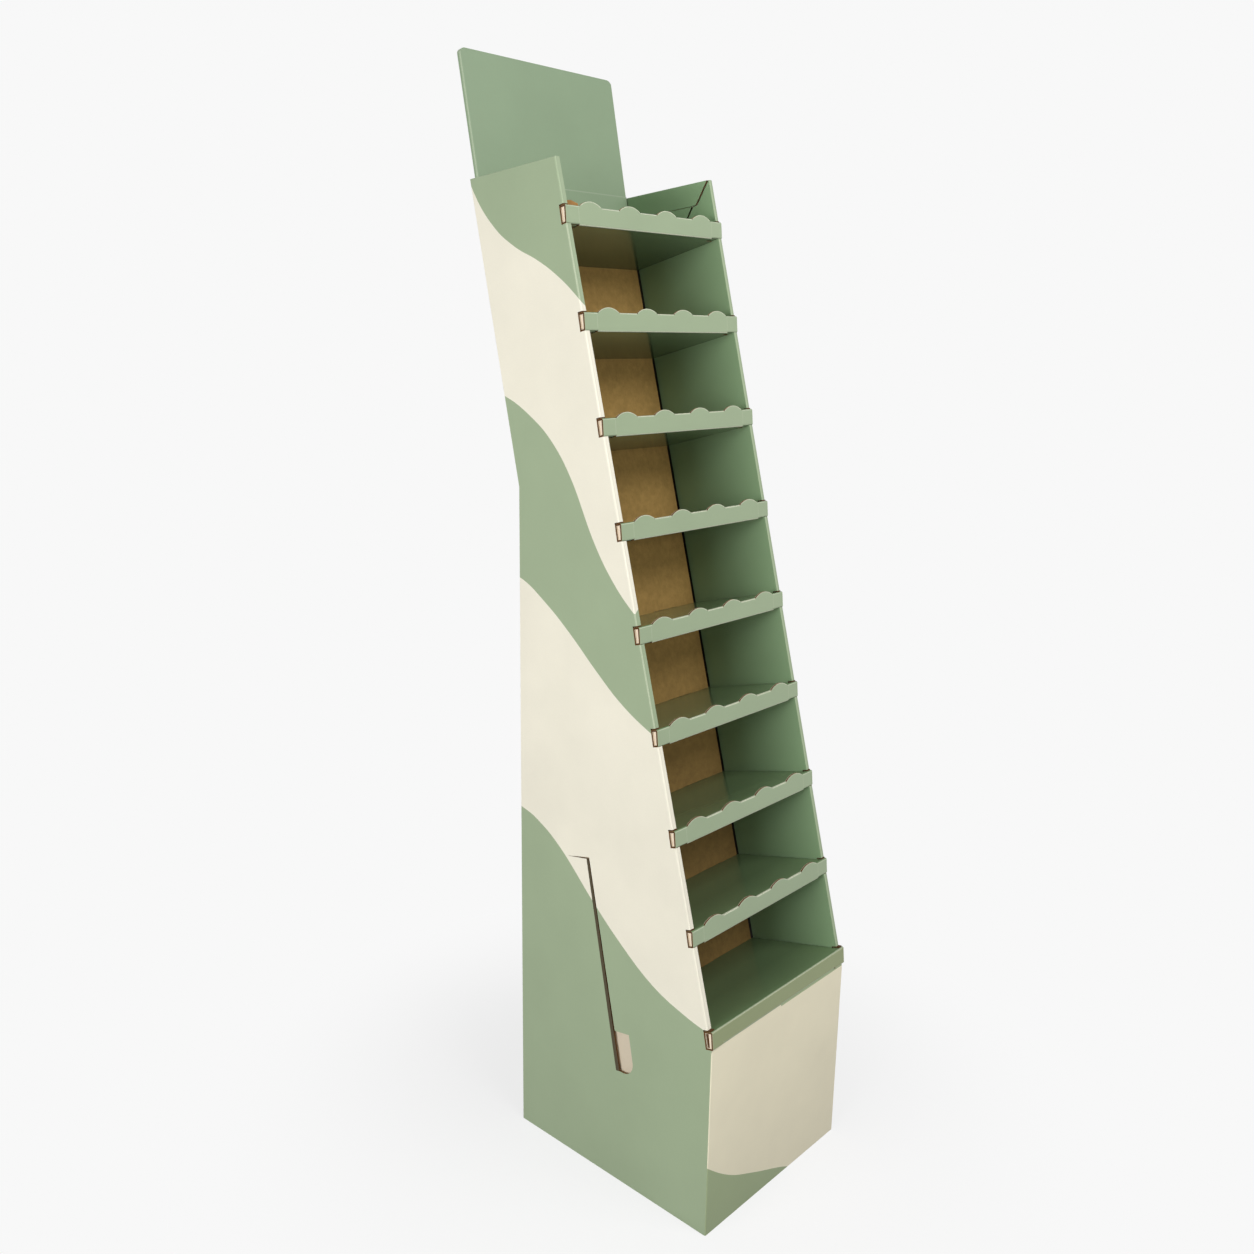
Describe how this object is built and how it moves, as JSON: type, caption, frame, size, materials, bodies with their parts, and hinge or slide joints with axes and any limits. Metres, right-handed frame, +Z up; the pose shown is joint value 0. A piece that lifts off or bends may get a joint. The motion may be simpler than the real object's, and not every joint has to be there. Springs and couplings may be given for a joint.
{
  "type": "shelf display stand",
  "caption": "Tall floor display of folded printed board with a slanted open front, scalloped shelf lips, a closed plinth and a header card.",
  "frame": {"origin": "on the floor, under the middle of the bounding box", "axes": "+X to the right of someone facing the display, -Y the open front, +Z up"},
  "size_m": [0.35, 0.5554, 1.746],
  "materials": {
    "case_board": "satin print, sage green and cream",
    "kraft_board": "bare kraft",
    "shelf_board": "satin sage green print",
    "header_board": "satin sage green print"
  },
  "bodies": {
    "root": {"outer_case": "case_board", "back_panel": "kraft_board", "base_shelf": "shelf_board", "shelf_1": "shelf_board", "shelf_2": "shelf_board", "shelf_3": "shelf_board", "shelf_4": "shelf_board", "shelf_5": "shelf_board", "shelf_6": "shelf_board", "shelf_7": "shelf_board", "shelf_8": "shelf_board", "header_card": "header_board"}
  },
  "joints": []
}
